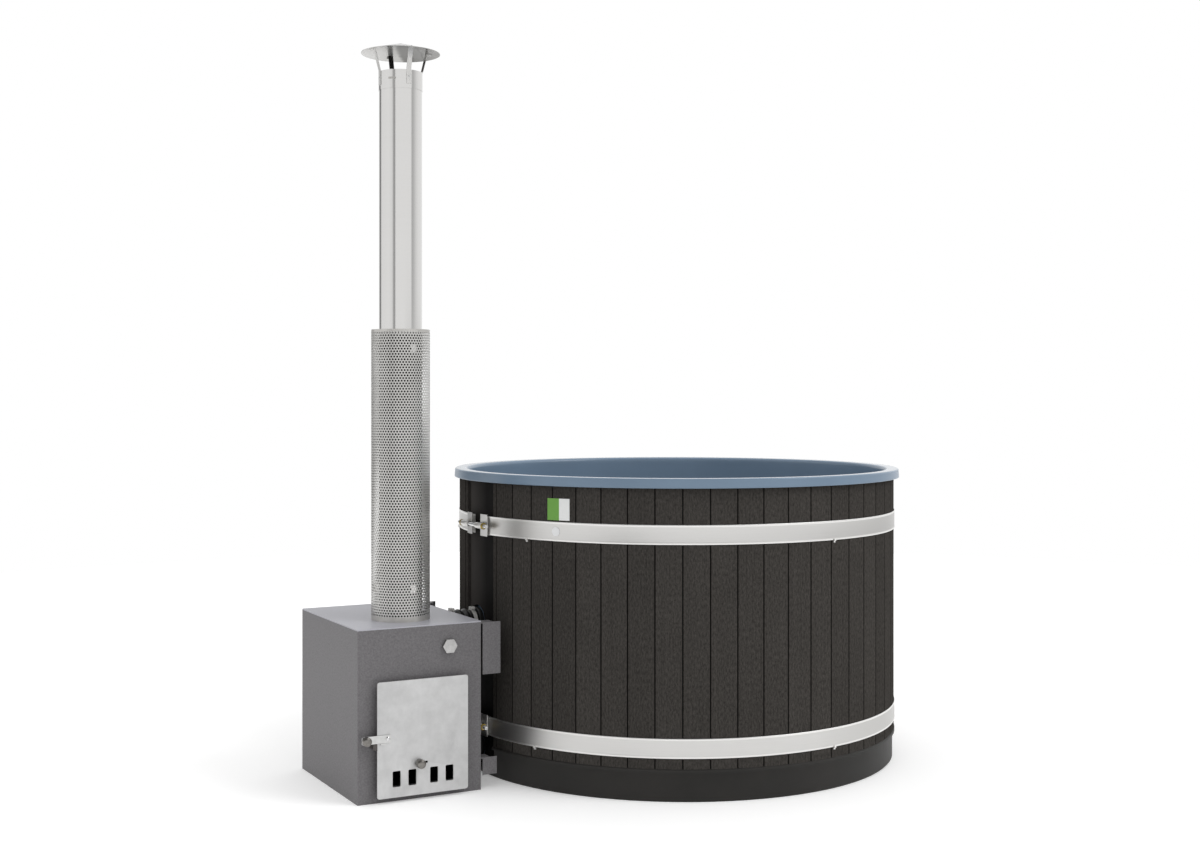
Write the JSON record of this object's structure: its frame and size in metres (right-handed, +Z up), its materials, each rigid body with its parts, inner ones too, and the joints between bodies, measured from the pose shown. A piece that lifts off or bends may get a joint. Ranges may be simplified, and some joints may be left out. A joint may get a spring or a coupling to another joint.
{
  "type": "wood-fired hot tub",
  "caption": "Round hot tub clad in dark boards held by steel hoops, heated through two hoses by a side stove with a hinged fire door, tall flue, heat guard and rain hat.",
  "frame": {"origin": "on the ground under the middle of the tub", "axes": "+Z up, X along the stove front with the stove on the -X side, the fire door facing -Y"},
  "size_m": [2.093, 1.5978, 2.433],
  "materials": {
    "shell_blue": "moulded, satin gloss",
    "wood_dark": "dark stained boards",
    "black_plastic": "fine texture",
    "panel_dark": "smooth, matt",
    "hoop_steel": "satin",
    "bolt_steel": "bright",
    "nut_brass": "yellow passivated",
    "hose_rubber": "matt",
    "fitting_black": "moulded",
    "stove_paint": "fine texture powder coat",
    "door_paint": "light grey, slightly mottled",
    "fire_steel": "raw, sooted",
    "fire_iron": "rough cast",
    "seal_rope": "glass-fibre rope",
    "latch_steel": "plain",
    "knob_metal": "dull, turned",
    "flue_steel": "satin"
  },
  "bodies": {
    "tub_and_stove": {"tub_floor": "shell_blue", "tub_wall": "shell_blue", "tub_rim": "shell_blue", "bench_insert": "shell_blue", "drain_strainer": "bolt_steel", "base_plinth": "black_plastic", "cladding_boards": "wood_dark", "channel_jambs": "wood_dark", "connection_panel": "panel_dark", "upper_hoop": "hoop_steel", "lower_hoop": "hoop_steel", "hoop_lugs": "hoop_steel", "tension_rods": "bolt_steel", "tension_nuts": "nut_brass", "hoop_hooks": "hoop_steel", "upper_tub_fitting": "fitting_black", "lower_tub_fitting": "fitting_black", "upper_hose": "hose_rubber", "lower_hose": "hose_rubber", "fitting_locknuts": "fitting_black", "hose_clamps": "bolt_steel", "stove_stubs": "stove_paint", "casing_top": "stove_paint", "casing_floor": "stove_paint", "casing_left": "stove_paint", "casing_right": "stove_paint", "casing_back": "stove_paint", "casing_front": "stove_paint", "firebox": "fire_steel", "grate_rails": "fire_steel", "fire_grate": "fire_iron", "hex_plug": "bolt_steel", "upper_guard_front": "stove_paint", "upper_guard_rear": "stove_paint", "lower_guard_front": "stove_paint", "lower_guard_rear": "stove_paint", "flue_spigot": "fire_steel", "flue_pipe": "flue_steel", "heat_guard": "flue_steel", "guard_spacers": "flue_steel", "hat_collar": "flue_steel", "rain_hat": "flue_steel", "hat_legs": "flue_steel", "hat_rivets": "bolt_steel", "latch_keeper": "latch_steel", "hinge_ears": "stove_paint", "hinge_pins": "bolt_steel"},
    "door": {"door_plate": "door_paint", "door_frame": "fire_steel", "door_seal": "seal_rope", "door_baffle": "fire_steel", "damper_guides": "fire_steel", "latch_rivet": "bolt_steel", "latch_stop": "latch_steel", "hinge_knuckles": "stove_paint"},
    "latch": {"latch_lever": "latch_steel", "latch_knob": "knob_metal"},
    "damper": {"damper_slide": "fire_steel", "damper_knob": "knob_metal"}
  },
  "joints": [
    {"name": "door_hinge", "type": "hinge", "parent": "tub_and_stove", "child": "door", "pos_m": [-0.935, -0.237, 0.2], "axis": [0, 0, 1], "range_deg": [0, 110]},
    {"name": "latch_turn", "type": "hinge", "parent": "door", "child": "latch", "pos_m": [-1.2045, -0.2525, 0.2055], "axis": [0, 1, 0], "range_deg": [0, 75]},
    {"name": "damper_shift", "type": "slide", "parent": "door", "child": "damper", "axis": [1, 0, 0], "range_m": [0, 0.0265]}
  ]
}
